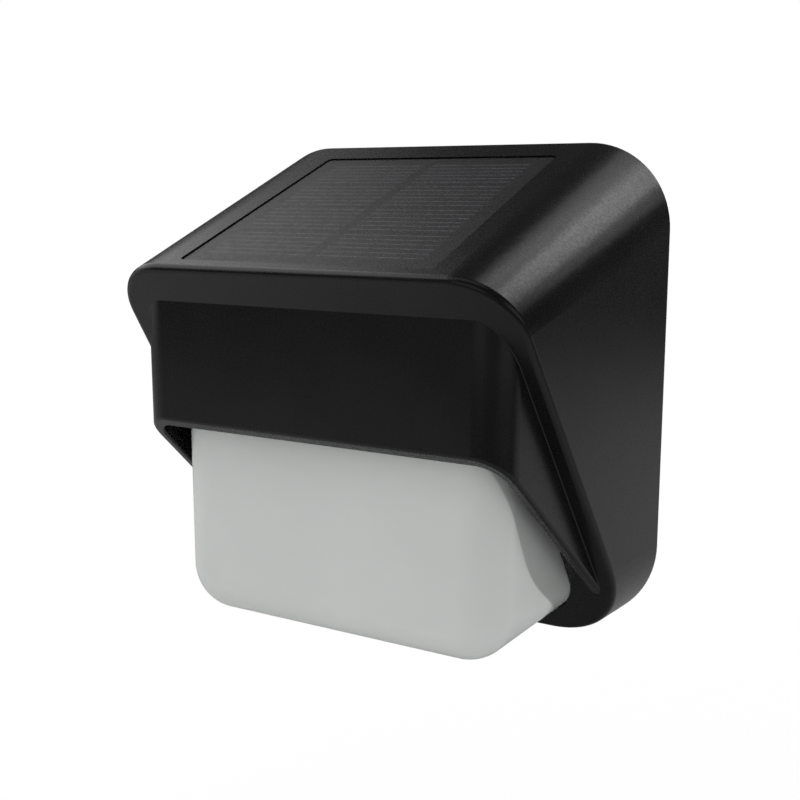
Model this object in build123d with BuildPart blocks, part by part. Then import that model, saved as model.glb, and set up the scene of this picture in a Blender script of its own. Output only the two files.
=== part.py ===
from build123d import *
import math
import os

os.makedirs("parts", exist_ok=True)

# Solar fence light, in millimetres. The wall plane is y = 0, the light faces -Y,
# +Z is up and X = 0 is the plane of symmetry.

# ---------------------------------------------------------------- outer housing
body_width = 104.0
body_height = 106.8
body_depth = 65.0
roof_drop = 25.0
bottom_depth = 9.7
side_draft = 5.65
top_corner_back = 18.4
top_corner_front = 12.2
bottom_corner = 19.5
wall = 2.0
front_wall = 2.4
front_edge_round = 1.3

# ---------------------------------------------------------------- visor over the diffuser
visor_side_band = 3.7
visor_setback = 5.0
visor_lip_height = 49.3
visor_tail_height = 12.9
visor_thickness = 2.4
visor_corner = 7.0
visor_rim_outer_round = 0.9
visor_rim_inner_round = 0.4
visor_crease_round = 0.25

# ---------------------------------------------------------------- back cover and its seat
cover_thickness = 2.6
cover_gap = 0.2
rebate_wall = 1.8
seal_thickness = 0.8
seal_edge_gap = 0.3
ledge_width = 2.8
ledge_thickness = 2.4
spigot_gap = 0.3
spigot_thickness = 1.5
spigot_height = 2.8

cover_screw_edge = 7.0
cover_screw_low_z = 16.5
cover_screw_drop = 21.8
cover_screw_radius = 1.45
cover_screw_head_radius = 2.8
cover_screw_head_height = 1.7
cover_screw_length = 12.0
screw_hole_gap = 0.25
screw_pilot_gap = 0.05
screw_end_gap = 1.0
boss_radius = 3.6
boss_length = 16.0
boss_rib_thickness = 2.0
cross_recess_reach = 1.1
cross_recess_slot = 0.28
cross_recess_depth = 0.6

# ---------------------------------------------------------------- keyhole hangers
keyhole_x = 28.0
keyhole_drop = 24.8
keyhole_entry_radius = 4.25
keyhole_slot_width = 4.6
keyhole_slot_rise = 8.0
keyhole_pocket_depth = 5.0
keyhole_pocket_margin = 0.8
keyhole_pocket_wall = 1.4

# ---------------------------------------------------------------- milky diffuser
diffuser_side_gap = 7.3
diffuser_front_gap = 4.2
diffuser_bottom = 5.15
diffuser_corner = 10.2
diffuser_edge_round = 7.8
diffuser_draft = 1.3
diffuser_wall = 1.8
diffuser_gap = 0.3
flange_thickness = 1.8
flange_overhang = 2.1
flange_lip = 1.2
flange_corner = 11.5
gasket_thickness = 0.8
gasket_edge_gap = 0.25

# ---------------------------------------------------------------- reflector plate and light board
reflector_thickness = 1.8
reflector_side_step = 0.2
reflector_low_step = 3.2
reflector_high_step = 1.2
reflector_corner = 11.0
reflector_ear_low = 27.0
reflector_ear_high = 64.0
reflector_ear_radius = 2.2
reflector_post_radius = 2.0
reflector_post_gap = 0.2
small_screw_radius = 1.0
small_screw_head_radius = 1.9
small_screw_head_height = 1.3
small_screw_crown = 0.6
reflector_screw_length = 5.6
led_board_width = 56.0
led_board_height = 12.0
led_board_thickness = 1.0
led_board_centre = 46.0
led_board_screw_x = 24.5
board_corner = 1.5
led_board_screw_length = 4.6
led_boss_radius = 2.4
led_boss_height = 3.0
led_count = 6
led_pitch = 8.0
led_width = 2.8
led_length = 3.5
led_height = 0.7
lead_hole_radius = 3.4

# ---------------------------------------------------------------- solar panel
panel_side_margin = 23.2
panel_back_margin = 8.0
panel_start = 4.1
panel_gap = 0.4
panel_recess = 2.0
panel_floor = 1.4
panel_shelf = 2.0
panel_corner = 0.8
tape_thickness = 0.3
tape_width = 4.0
backing_thickness = 0.8
glaze_thickness = 0.6
cell_thickness = 0.2
cell_columns = 2
cell_rows = 4
cell_side_margin = 4.0
cell_end_margin = 3.4
cell_column_gap = 2.6
cell_row_gap = 0.7
cell_gap = 0.05
panel_hole_width = 14.0
panel_hole_length = 8.0
panel_hole_place = 30.0

# ---------------------------------------------------------------- battery and its tray
cell_radius = 7.1
cell_body_length = 48.6
cell_nub_radius = 2.6
cell_nub_length = 1.4
cell_edge_round = 0.5
battery_z = 42.0
tray_wall = 1.5
tray_side_gap = 0.15
tray_corner = 1.0
contact_room = 4.4
contact_thickness = 0.4
contact_width = 9.0
contact_tab_width = 5.0
contact_tab_reach = 2.4
contact_dimple_radius = 3.2
contact_dimple_top = 1.9
hook_x = 18.0
hook_width = 6.0
hook_thickness = 1.6
hook_lip = 0.9
hook_gap = 0.12

# ---------------------------------------------------------------- main board
board_width = 46.0
board_height = 22.0
board_thickness = 1.6
board_depth = 13.0
board_z = 65.0
board_post_x = 19.5
board_post_rise = 7.5
board_post_radius = 2.75
board_screw_length = 6.0
chip_width = 5.0
chip_length = 4.0
chip_height = 1.5
chip_x = -8.5
chip_rise = 1.5
chip_pin_count = 4
chip_pin_pitch = 1.27
chip_pin_width = 0.45
chip_pin_reach = 1.0
chip_pin_height = 0.25
coil_radius = 3.0
coil_height = 3.2
coil_x = 8.5
coil_rise = 5.0
capacitor_radius = 2.5
capacitor_height = 5.4
capacitor_x = 6.8
capacitor_rise = -3.6
can_edge_round = 0.4

# ---------------------------------------------------------------- on/off push button
button_radius = 4.0
button_gap = 0.09
button_sink = 0.9
button_travel = 1.5
button_end_round = 0.5
button_flange_radius = 5.2
button_flange_thickness = 1.0
button_flange_gap = 0.15
dish_radius = 8.5
dish_depth = 3.0
dish_floor = 1.6
dish_draft_width = 1.0
guide_radius = 5.6
guide_length = 2.8
plunger_half_width = 1.5
plunger_gap = 0.1
plunger_length = 3.4
switch_size = 7.0
switch_height = 4.2
switch_corner = 0.5
plunger_end_gap = 0.4
o_ring_radius = 0.5
o_ring_slack = 0.03
o_ring_place = 1.4
groove_radius = 3.1
screw_sink = 0.15

# ---------------------------------------------------------------- insulated leads
lead_radius = 0.65
lead_arc_share = 0.45
lead_stub = 6.0
panel_lead_x = 2.5
panel_lead_depth = 23.0
panel_lead_pad_x = 14.0
panel_lead_pad_rise = 7.6
led_lead_x = 1.6
led_lead_depth = 22.0
led_lead_pad_x = 2.5
led_lead_pad_rise = -6.8
battery_lead_turn_x = 15.5
battery_lead_turn_rise = 8.0
battery_lead_depth = 24.0
battery_lead_pad_x = 12.0
battery_lead_pad_rise = -7.0

# ---------------------------------------------------------------- shared geometry
draft_rate = math.tan(math.radians(side_draft))
front_edge_height = body_height - roof_drop
front_run = body_depth - bottom_depth
front_length = math.hypot(front_edge_height, front_run)
roof_length = math.hypot(body_depth, roof_drop)
roof_angle = math.atan2(roof_drop, body_depth)
visor_depth = body_depth - visor_setback

wall_plane = Plane.XZ
front_plane = Plane(
    origin=(0, -bottom_depth, 0),
    x_dir=(1, 0, 0),
    z_dir=(0, -front_edge_height, -front_run),
)
roof_plane = Plane(
    origin=(0, -body_depth, front_edge_height),
    x_dir=(1, 0, 0),
    z_dir=(0, -roof_drop, body_depth),
)
tail_depth = bottom_depth + visor_tail_height * front_run / front_edge_height
rim_angle = math.atan2(visor_lip_height - visor_tail_height, visor_depth - tail_depth)
rim_plane = Plane(
    origin=(0, -visor_depth, visor_lip_height),
    x_dir=(1, 0, 0),
    z_dir=(0, -math.sin(rim_angle), -math.cos(rim_angle)),
)

seat_depth = cover_thickness + seal_thickness
ledge_inset = rebate_wall + ledge_width
ledge_end = seat_depth + ledge_thickness
flange_front = front_wall + gasket_thickness
reflector_front = flange_front + flange_thickness
reflector_back = reflector_front + reflector_thickness

diffuser_depth = visor_depth - visor_thickness - diffuser_front_gap
diffuser_half_width = body_width / 2 - visor_side_band - visor_thickness - diffuser_side_gap
diffuser_top = (diffuser_depth - bottom_depth) * front_edge_height / front_run


def rise_along_front(height, depth_inside):
    """Distance up the slanted front of a point at a height, on a plane inside the front."""
    return (height - depth_inside * front_run / front_length) * front_length / front_edge_height


flange_half_width = diffuser_half_width + flange_overhang
flange_low = rise_along_front(diffuser_bottom - diffuser_gap, flange_front) - flange_lip
flange_high = rise_along_front(diffuser_top + diffuser_gap, flange_front) + flange_lip
reflector_half_width = flange_half_width - reflector_side_step
reflector_low = flange_low + reflector_low_step
reflector_high = flange_high + reflector_high_step
reflector_ear_x = flange_half_width + reflector_post_gap + reflector_post_radius

panel_width = body_width - 2 * panel_side_margin
panel_length = roof_length - panel_start - panel_back_margin
panel_middle = panel_start + panel_length / 2
cell_span = panel_width - 2 * cell_side_margin
cell_width = (cell_span - (cell_columns - 1) * cell_column_gap) / cell_columns
cell_reach = panel_length - 2 * cell_end_margin
cell_length = (cell_reach - (cell_rows - 1) * cell_row_gap) / cell_rows
cell_column_pitch = cell_width + cell_column_gap
cell_row_pitch = cell_length + cell_row_gap
recess_width = panel_width + 2 * panel_gap
recess_length = panel_length + 2 * panel_gap
shelf_width = recess_width + 2 * panel_shelf
shelf_length = recess_length + 2 * panel_shelf
dish_back = dish_depth + dish_floor
guide_end = dish_depth + guide_length
board_front = board_depth + board_thickness

keyhole_z = body_height - keyhole_drop
cover_screw_x = body_width / 2 - cover_screw_edge
cover_screw_high_z = body_height - cover_screw_drop
cover_screw_places = [
    (side * cover_screw_x, z)
    for side in (-1, 1)
    for z in (cover_screw_low_z, cover_screw_high_z)
]
reflector_ear_places = [
    (side * reflector_ear_x, rise)
    for side in (-1, 1)
    for rise in (reflector_ear_low, reflector_ear_high)
]
led_screw_places = [(side * led_board_screw_x, led_board_centre) for side in (-1, 1)]
board_post_places = [
    (side * board_post_x, board_z + rise)
    for side in (-1, 1)
    for rise in (-board_post_rise, board_post_rise)
]
board_screw_places = [board_post_places[1], board_post_places[2]]


def rounded_profile(half_width, bottom, top, bottom_radius, top_radius):
    """Rectangle with one radius on its lower and one on its upper corners."""
    with Locations((0, (bottom + top) / 2)):
        Rectangle(2 * half_width, top - bottom)
    fillet(vertices().group_by(Axis.Y)[0], bottom_radius)
    fillet(vertices().group_by(Axis.Y)[-1], top_radius)


def body_profile(depth, inset=0.0, roof_inset=None):
    """Cross-section of the housing at a depth in front of the wall."""
    share = depth / body_depth
    top_radius = top_corner_back + (top_corner_front - top_corner_back) * share
    top = body_height - roof_drop * share - (inset if roof_inset is None else roof_inset)
    half_width = body_width / 2 - depth * draft_rate
    rounded_profile(half_width - inset, inset, top, bottom_corner - inset, top_radius - inset)


def diffuser_profile(depth, growth):
    """Cross-section of the diffuser at a depth, grown outwards or inwards."""
    flare = (diffuser_depth - depth) * math.tan(math.radians(diffuser_draft))
    rounded_profile(
        diffuser_half_width + flare + growth,
        diffuser_bottom - growth,
        diffuser_top + growth,
        diffuser_corner + growth,
        diffuser_corner + growth,
    )


def visor_outline(inset):
    """Plan of the visor: a tapered U whose open side is at the wall."""
    half_back = body_width / 2 - visor_side_band - inset
    front = visor_depth - inset
    half_front = half_back - front * draft_rate
    Polygon(
        (-half_back, 0),
        (-half_front, -front),
        (half_front, -front),
        (half_back, 0),
        align=None,
    )
    fillet(vertices().group_by(Axis.Y)[0], visor_corner - inset)


def screw_head_recess(head_radius, head_height):
    """Cross recess cut into the head of a screw that points along the local +Z."""
    reach = head_radius * cross_recess_reach
    slot = head_radius * cross_recess_slot
    depth = head_height * cross_recess_depth
    Box(reach, slot, depth, align=(Align.CENTER, Align.CENTER, Align.MIN), mode=Mode.SUBTRACT)
    Box(slot, reach, depth, align=(Align.CENTER, Align.CENTER, Align.MIN), mode=Mode.SUBTRACT)


def pan_screws(name, seat, places, length):
    """Small pan head screws whose heads stand on the seat plane, shanks along its -Z."""
    with BuildPart() as screws:
        with BuildSketch(seat):
            with Locations(*places):
                Circle(small_screw_head_radius)
        extrude(amount=small_screw_head_height)
        crowns = faces().filter_by(lambda f: f.normal_at().dot(seat.z_dir) > 0.99)
        fillet(crowns.edges(), small_screw_crown)
        with BuildSketch(seat):
            with Locations(*places):
                Circle(small_screw_radius)
        extrude(amount=-length)
        for x, y in places:
            crown = Plane(
                origin=seat.from_local_coords((x, y, small_screw_head_height)),
                x_dir=seat.x_dir,
                z_dir=-seat.z_dir,
            )
            with Locations(crown):
                screw_head_recess(small_screw_head_radius, small_screw_head_height)
    screws.part.label = name
    export_step(screws.part, f"parts/{name}.step")


# ================================================================ housing
with BuildPart() as body_blank:
    with BuildSketch(wall_plane):
        body_profile(0)
    with BuildSketch(wall_plane.offset(body_depth)):
        body_profile(body_depth)
    loft(ruled=True)
    split(bisect_by=front_plane, keep=Keep.BOTTOM)

with BuildPart() as cavity:
    roof_inset = wall / math.cos(roof_angle)
    with BuildSketch(wall_plane.offset(ledge_end)):
        body_profile(ledge_end, wall, roof_inset)
    with BuildSketch(wall_plane.offset(body_depth)):
        body_profile(body_depth, wall, roof_inset)
    loft(ruled=True)
    split(bisect_by=front_plane.offset(-front_wall), keep=Keep.BOTTOM)

with BuildPart() as visor_block:
    with BuildSketch(Plane.XY):
        visor_outline(0)
    extrude(amount=body_height)
    split(bisect_by=rim_plane, keep=Keep.BOTTOM)
    rim = faces().filter_by(lambda f: f.normal_at().dot(rim_plane.z_dir) > 0.999)
    outer_edges = rim.edges().filter_by(lambda e: e.center().Y < -ledge_end)
    fillet(outer_edges, visor_rim_outer_round)

with BuildPart() as visor:
    add(visor_block.part)
    with BuildSketch(Plane.XY):
        visor_outline(visor_thickness)
    extrude(amount=body_height, mode=Mode.SUBTRACT)
    cut_edges = edges(Select.LAST)
    rim = faces().filter_by(lambda f: f.normal_at().dot(rim_plane.z_dir) > 0.999)
    inner_edges = rim.edges().filter_by(lambda e: e in cut_edges and e.center().Y < -ledge_end)
    fillet(inner_edges, visor_rim_inner_round)

with BuildPart() as visor_hollow:
    add(visor_block.part)
    add(visor.part, mode=Mode.SUBTRACT)
    split(bisect_by=front_plane, keep=Keep.TOP)


def is_visor_crease(edge):
    """True for a long edge in the slanted front that the visor's outside makes there."""
    points = [edge.position_at(share) - front_plane.origin for share in (0, 0.5, 1)]
    in_front = all(abs(point.dot(front_plane.z_dir)) < 0.01 for point in points)
    return in_front and edge.geom_type != GeomType.BSPLINE and edge.length > visor_corner


# The prism in the front wall that lets the diffuser through.
with BuildPart() as diffuser_window:
    with BuildSketch(wall_plane):
        diffuser_profile(0, diffuser_gap)
    with BuildSketch(wall_plane.offset(diffuser_depth + diffuser_gap)):
        diffuser_profile(diffuser_depth + diffuser_gap, diffuser_gap)
    loft(ruled=True)
    split(bisect_by=front_plane.offset(-flange_front), keep=Keep.TOP)

# Screw bosses for the back cover: the lower ones reach the front wall, and a rib
# ties each upper one to the side wall.
with BuildPart() as cover_bosses:
    for x, z in cover_screw_places:
        with BuildSketch(wall_plane.offset(cover_thickness)):
            with Locations((x, z)):
                Circle(boss_radius)
        extrude(amount=boss_length)
        with BuildSketch(wall_plane.offset(ledge_end)):
            with Locations((x + math.copysign(boss_radius, x), z)):
                Rectangle(2 * boss_radius, boss_rib_thickness)
        extrude(amount=boss_length + cover_thickness - ledge_end)
    add(body_blank.part, mode=Mode.INTERSECT)

with BuildPart() as housing:
    add(body_blank.part)
    front_face = faces().filter_by(lambda f: f.normal_at().dot(front_plane.z_dir) > 0.999)
    fillet(front_face.edges(), front_edge_round)
    # Visor: a solid block rounded into the slanted front, then hollowed.
    add(split(objects=visor_block.part, bisect_by=front_plane, keep=Keep.TOP, mode=Mode.PRIVATE))
    fillet(edges().filter_by(is_visor_crease), visor_crease_round)
    add(visor_hollow.part, mode=Mode.SUBTRACT)
    add(cavity.part, mode=Mode.SUBTRACT)
    # Floor under the solar panel.
    with BuildSketch(roof_plane):
        with Locations((0, panel_middle)):
            Rectangle(shelf_width, shelf_length)
    extrude(amount=-(panel_recess + panel_floor))
    # Rebate for the back cover and the ledge that its seal lies on.
    with BuildSketch(wall_plane):
        body_profile(0, rebate_wall)
    extrude(amount=seat_depth, mode=Mode.SUBTRACT)
    with BuildSketch(wall_plane):
        body_profile(0, ledge_inset)
    extrude(amount=ledge_end, mode=Mode.SUBTRACT)
    # Recess for the solar panel, and the hole for its leads.
    with BuildSketch(roof_plane):
        with Locations((0, panel_middle)):
            RectangleRounded(recess_width, recess_length, panel_corner + panel_gap)
    extrude(amount=-panel_recess, mode=Mode.SUBTRACT)
    with BuildSketch(roof_plane):
        with Locations((0, panel_hole_place)):
            SlotOverall(panel_hole_width, panel_hole_length)
    extrude(amount=-(panel_recess + panel_floor + 1), mode=Mode.SUBTRACT)
    add(diffuser_window.part, mode=Mode.SUBTRACT)
    # Posts beside the window carry the reflector plate.
    with BuildSketch(front_plane.offset(-front_wall)):
        with Locations(*reflector_ear_places):
            Circle(reflector_post_radius)
    extrude(amount=-(reflector_front - front_wall))
    with BuildSketch(front_plane.offset(-reflector_front)):
        with Locations(*reflector_ear_places):
            Circle(small_screw_radius + screw_pilot_gap)
    post_pilot = reflector_screw_length - reflector_thickness + screw_end_gap / 2
    extrude(amount=post_pilot, mode=Mode.SUBTRACT)
    add(cover_bosses.part)
    with BuildSketch(wall_plane.offset(cover_thickness)):
        with Locations(*cover_screw_places):
            Circle(cover_screw_radius + screw_pilot_gap)
    boss_pilot = cover_screw_length - cover_thickness + screw_end_gap
    extrude(amount=boss_pilot, mode=Mode.SUBTRACT)
housing.part.label = "housing"
export_step(housing.part, "parts/housing.step")

# ================================================================ diffuser
with BuildPart() as diffuser_hollow:
    inner_front = diffuser_depth - diffuser_wall
    with BuildSketch(wall_plane):
        diffuser_profile(0, -diffuser_wall)
    with BuildSketch(wall_plane.offset(inner_front)):
        diffuser_profile(inner_front, -diffuser_wall)
    loft(ruled=True)
    face = faces().sort_by(Axis.Y)[0]
    fillet(face.edges().sort_by(Axis.Z)[:-3], diffuser_edge_round - diffuser_wall)

with BuildPart() as diffuser:
    with BuildSketch(wall_plane):
        diffuser_profile(0, 0)
    with BuildSketch(wall_plane.offset(diffuser_depth)):
        diffuser_profile(diffuser_depth, 0)
    loft(ruled=True)
    face = faces().sort_by(Axis.Y)[0]
    fillet(face.edges().sort_by(Axis.Z)[:-3], diffuser_edge_round)
    split(bisect_by=front_plane.offset(-reflector_front), keep=Keep.TOP)
    with BuildSketch(front_plane.offset(-reflector_front)):
        rounded_profile(flange_half_width, flange_low, flange_high, flange_corner, flange_corner)
    extrude(amount=flange_thickness)
    add(diffuser_hollow.part, mode=Mode.SUBTRACT)
diffuser.part.label = "diffuser"
export_step(diffuser.part, "parts/diffuser.step")

with BuildPart() as diffuser_gasket:
    with BuildSketch(front_plane.offset(-flange_front)):
        rounded_profile(
            flange_half_width - gasket_edge_gap,
            flange_low + gasket_edge_gap,
            flange_high - gasket_edge_gap,
            flange_corner,
            flange_corner,
        )
    extrude(amount=gasket_thickness)
    add(diffuser_window.part, mode=Mode.SUBTRACT)
diffuser_gasket.part.label = "diffuser_gasket"
export_step(diffuser_gasket.part, "parts/diffuser_gasket.step")

# ================================================================ reflector and light board
led_board_front = reflector_front - led_board_thickness

with BuildPart() as reflector:
    with BuildSketch(front_plane.offset(-reflector_front)):
        rounded_profile(
            reflector_half_width,
            reflector_low,
            reflector_high,
            reflector_corner,
            reflector_corner,
        )
        with Locations(*reflector_ear_places):
            Circle(reflector_ear_radius)
        with Locations((0, reflector_ear_low), (0, reflector_ear_high)):
            Rectangle(2 * reflector_ear_x, 2 * reflector_ear_radius)
    extrude(amount=-reflector_thickness)
    with BuildSketch(front_plane.offset(-reflector_back)):
        with Locations(*led_screw_places):
            Circle(led_boss_radius)
    extrude(amount=-led_boss_height)
    with BuildSketch(front_plane.offset(-reflector_front)):
        with Locations(*reflector_ear_places):
            Circle(small_screw_radius + screw_hole_gap)
        with Locations((0, led_board_centre)):
            Circle(lead_hole_radius)
    extrude(amount=-reflector_thickness, mode=Mode.SUBTRACT)
    with BuildSketch(front_plane.offset(-reflector_front)):
        with Locations(*led_screw_places):
            Circle(small_screw_radius + screw_pilot_gap)
    extrude(amount=-(reflector_thickness + led_boss_height), mode=Mode.SUBTRACT)
reflector.part.label = "reflector"
export_step(reflector.part, "parts/reflector.step")

reflector_seat = Plane(
    origin=front_plane.offset(-reflector_back).origin,
    x_dir=front_plane.x_dir,
    z_dir=-front_plane.z_dir,
)
reflector_screw_places = [(x, -rise) for x, rise in reflector_ear_places]
pan_screws("reflector_screws", reflector_seat, reflector_screw_places, reflector_screw_length)

with BuildPart() as led_board:
    with BuildSketch(front_plane.offset(-reflector_front)):
        with Locations((0, led_board_centre)):
            RectangleRounded(led_board_width, led_board_height, board_corner)
        with Locations(*led_screw_places):
            Circle(small_screw_radius + screw_hole_gap, mode=Mode.SUBTRACT)
    extrude(amount=led_board_thickness)
led_board.part.label = "led_board"
export_step(led_board.part, "parts/led_board.step")

with BuildPart() as leds:
    with BuildSketch(front_plane.offset(-led_board_front)):
        with Locations((0, led_board_centre)):
            with GridLocations(led_pitch, led_pitch, led_count, 1):
                Rectangle(led_width, led_length)
    extrude(amount=led_height)
leds.part.label = "leds"
export_step(leds.part, "parts/leds.step")

led_board_face = front_plane.offset(-led_board_front)
pan_screws("led_board_screws", led_board_face, led_screw_places, led_board_screw_length)

# ================================================================ solar panel
with BuildPart() as panel_tape:
    with BuildSketch(roof_plane.offset(-panel_recess)):
        with Locations((0, panel_middle)):
            RectangleRounded(panel_width, panel_length, panel_corner)
            Rectangle(
                panel_width - 2 * tape_width,
                panel_length - 2 * tape_width,
                mode=Mode.SUBTRACT,
            )
    extrude(amount=tape_thickness)
panel_tape.part.label = "panel_tape"
export_step(panel_tape.part, "parts/panel_tape.step")

backing_underside = panel_recess - tape_thickness
backing_top = backing_underside - backing_thickness

with BuildPart() as panel_backing:
    with BuildSketch(roof_plane.offset(-backing_underside)):
        with Locations((0, panel_middle)):
            RectangleRounded(panel_width, panel_length, panel_corner)
    extrude(amount=backing_thickness)
panel_backing.part.label = "panel_backing"
export_step(panel_backing.part, "parts/panel_backing.step")

with BuildPart() as solar_cells:
    with BuildSketch(roof_plane.offset(-backing_top)):
        with Locations((0, panel_middle)):
            with GridLocations(cell_column_pitch, cell_row_pitch, cell_columns, cell_rows):
                Rectangle(cell_width, cell_length)
    extrude(amount=cell_thickness)
solar_cells.part.label = "solar_cells"
export_step(solar_cells.part, "parts/solar_cells.step")

with BuildPart() as panel_glaze:
    with BuildSketch(roof_plane.offset(-backing_top)):
        with Locations((0, panel_middle)):
            RectangleRounded(panel_width, panel_length, panel_corner)
    extrude(amount=glaze_thickness)
    with BuildSketch(roof_plane.offset(-backing_top)):
        with Locations((0, panel_middle)):
            with GridLocations(cell_column_pitch, cell_row_pitch, cell_columns, cell_rows):
                Rectangle(cell_width + 2 * cell_gap, cell_length + 2 * cell_gap)
    extrude(amount=cell_thickness + cell_gap, mode=Mode.SUBTRACT)
panel_glaze.part.label = "panel_glaze"
export_step(panel_glaze.part, "parts/panel_glaze.step")

# ================================================================ back cover
tray_half_height = cell_radius + tray_side_gap + tray_wall
tray_inner_length = cell_body_length + cell_nub_length + contact_room
tray_depth = cover_thickness + tray_wall + tray_side_gap + 2 * cell_radius
hook_places = [
    (x, battery_z + side * (tray_half_height + hook_gap + hook_thickness / 2), side)
    for x in (-hook_x, hook_x)
    for side in (-1, 1)
]
pocket_half_width = keyhole_entry_radius + keyhole_pocket_margin
pocket_low = keyhole_z - pocket_half_width
pocket_high = keyhole_z + keyhole_slot_rise + pocket_half_width
pocket_places = [(side * keyhole_x, (pocket_low + pocket_high) / 2) for side in (-1, 1)]

with BuildPart() as back_cover:
    with BuildSketch(wall_plane):
        body_profile(0, rebate_wall + cover_gap)
    extrude(amount=cover_thickness)
    # Spigot that centres the cover inside the ledge.
    with BuildSketch(wall_plane.offset(cover_thickness)):
        body_profile(cover_thickness, ledge_inset + spigot_gap)
    extrude(amount=spigot_height)
    with BuildSketch(wall_plane.offset(cover_thickness)):
        body_profile(cover_thickness, ledge_inset + spigot_gap + spigot_thickness)
    extrude(amount=spigot_height, mode=Mode.SUBTRACT)
    # Room in the spigot for the housing's screw bosses.
    with BuildSketch(wall_plane.offset(cover_thickness)):
        with Locations(*cover_screw_places):
            Circle(boss_radius + spigot_gap)
    extrude(amount=spigot_height, mode=Mode.SUBTRACT)
    # Sealed pockets behind the keyholes.
    with BuildSketch(wall_plane.offset(cover_thickness)):
        with Locations(*pocket_places):
            SlotOverall(
                pocket_high - pocket_low + 2 * keyhole_pocket_wall,
                2 * (pocket_half_width + keyhole_pocket_wall),
                rotation=90,
            )
    extrude(amount=keyhole_pocket_depth + keyhole_pocket_wall)
    with BuildSketch(wall_plane.offset(cover_thickness)):
        with Locations(*pocket_places):
            SlotOverall(pocket_high - pocket_low, 2 * pocket_half_width, rotation=90)
    extrude(amount=keyhole_pocket_depth, mode=Mode.SUBTRACT)
    with BuildSketch(wall_plane):
        with Locations((-keyhole_x, keyhole_z), (keyhole_x, keyhole_z)):
            Circle(keyhole_entry_radius)
            with Locations((0, keyhole_slot_rise / 2)):
                Rectangle(keyhole_slot_width, keyhole_slot_rise)
            with Locations((0, keyhole_slot_rise)):
                Circle(keyhole_slot_width / 2)
    extrude(amount=cover_thickness, mode=Mode.SUBTRACT)
    # Finger dish with the guide of the push button.
    with BuildSketch(wall_plane):
        with Locations((0, board_z)):
            Circle(dish_radius + dish_floor)
    extrude(amount=dish_back)
    with BuildSketch(wall_plane):
        with Locations((0, board_z)):
            Circle(guide_radius)
    extrude(amount=guide_end)
    with BuildSketch(wall_plane):
        with Locations((0, board_z)):
            Circle(dish_radius)
    with BuildSketch(wall_plane.offset(dish_depth)):
        with Locations((0, board_z)):
            Circle(dish_radius - dish_draft_width)
    loft(mode=Mode.SUBTRACT)
    with BuildSketch(wall_plane):
        with Locations((0, board_z)):
            Circle(button_radius + button_gap)
    extrude(amount=guide_end, mode=Mode.SUBTRACT)
    # Posts for the main board.
    with BuildSketch(wall_plane.offset(cover_thickness)):
        with Locations(*board_post_places):
            Circle(board_post_radius)
    extrude(amount=board_depth - cover_thickness)
    with BuildSketch(wall_plane.offset(board_depth)):
        with Locations(*board_screw_places):
            Circle(small_screw_radius + screw_pilot_gap)
    board_pilot = board_screw_length - board_thickness + screw_end_gap
    extrude(amount=-board_pilot, mode=Mode.SUBTRACT)
    # Snap hooks over the battery tray.
    for x, z, side in hook_places:
        with BuildSketch(wall_plane.offset(cover_thickness)):
            with Locations((x, z)):
                Rectangle(hook_width, hook_thickness)
        extrude(amount=tray_depth + hook_gap + hook_lip - cover_thickness)
        with BuildSketch(wall_plane.offset(tray_depth + hook_gap)):
            with Locations((x, z - side * (hook_thickness + hook_lip) / 2)):
                Rectangle(hook_width, hook_lip)
        extrude(amount=hook_lip)
    # Countersunk screw holes.
    with BuildSketch(wall_plane):
        with Locations(*cover_screw_places):
            Circle(cover_screw_radius + screw_hole_gap)
    extrude(amount=cover_thickness, mode=Mode.SUBTRACT)
    for x, z in cover_screw_places:
        with BuildSketch(wall_plane):
            with Locations((x, z)):
                Circle(cover_screw_head_radius + screw_hole_gap)
        with BuildSketch(wall_plane.offset(cover_screw_head_height)):
            with Locations((x, z)):
                Circle(cover_screw_radius + screw_hole_gap)
        loft(mode=Mode.SUBTRACT)
back_cover.part.label = "back_cover"
export_step(back_cover.part, "parts/back_cover.step")

with BuildPart() as cover_seal:
    with BuildSketch(wall_plane.offset(cover_thickness)):
        body_profile(cover_thickness, rebate_wall + seal_edge_gap)
    extrude(amount=seal_thickness)
    with BuildSketch(wall_plane.offset(cover_thickness)):
        body_profile(cover_thickness, ledge_inset - seal_edge_gap)
    extrude(amount=seal_thickness, mode=Mode.SUBTRACT)
    with BuildSketch(wall_plane.offset(cover_thickness)):
        with Locations(*cover_screw_places):
            Circle(boss_radius + seal_edge_gap)
    extrude(amount=seal_thickness, mode=Mode.SUBTRACT)
cover_seal.part.label = "cover_seal"
export_step(cover_seal.part, "parts/cover_seal.step")

with BuildPart() as cover_screws:
    for x, z in cover_screw_places:
        with BuildSketch(wall_plane.offset(screw_sink)):
            with Locations((x, z)):
                Circle(cover_screw_head_radius)
        with BuildSketch(wall_plane.offset(cover_screw_head_height)):
            with Locations((x, z)):
                Circle(cover_screw_radius)
        loft()
        with BuildSketch(wall_plane.offset(cover_screw_head_height)):
            with Locations((x, z)):
                Circle(cover_screw_radius)
        extrude(amount=cover_screw_length - cover_screw_head_height)
        crown = Plane(origin=(x, -screw_sink, z), x_dir=(1, 0, 0), z_dir=(0, -1, 0))
        with Locations(crown):
            screw_head_recess(cover_screw_head_radius, cover_screw_head_height)
cover_screws.part.label = "cover_screws"
export_step(cover_screws.part, "parts/cover_screws.step")

# ================================================================ battery
cell_axis_depth = cover_thickness + tray_wall + tray_side_gap + cell_radius
tray_half_length = tray_inner_length / 2 + tray_wall
contact_face = tray_inner_length / 2 - contact_thickness

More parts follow.
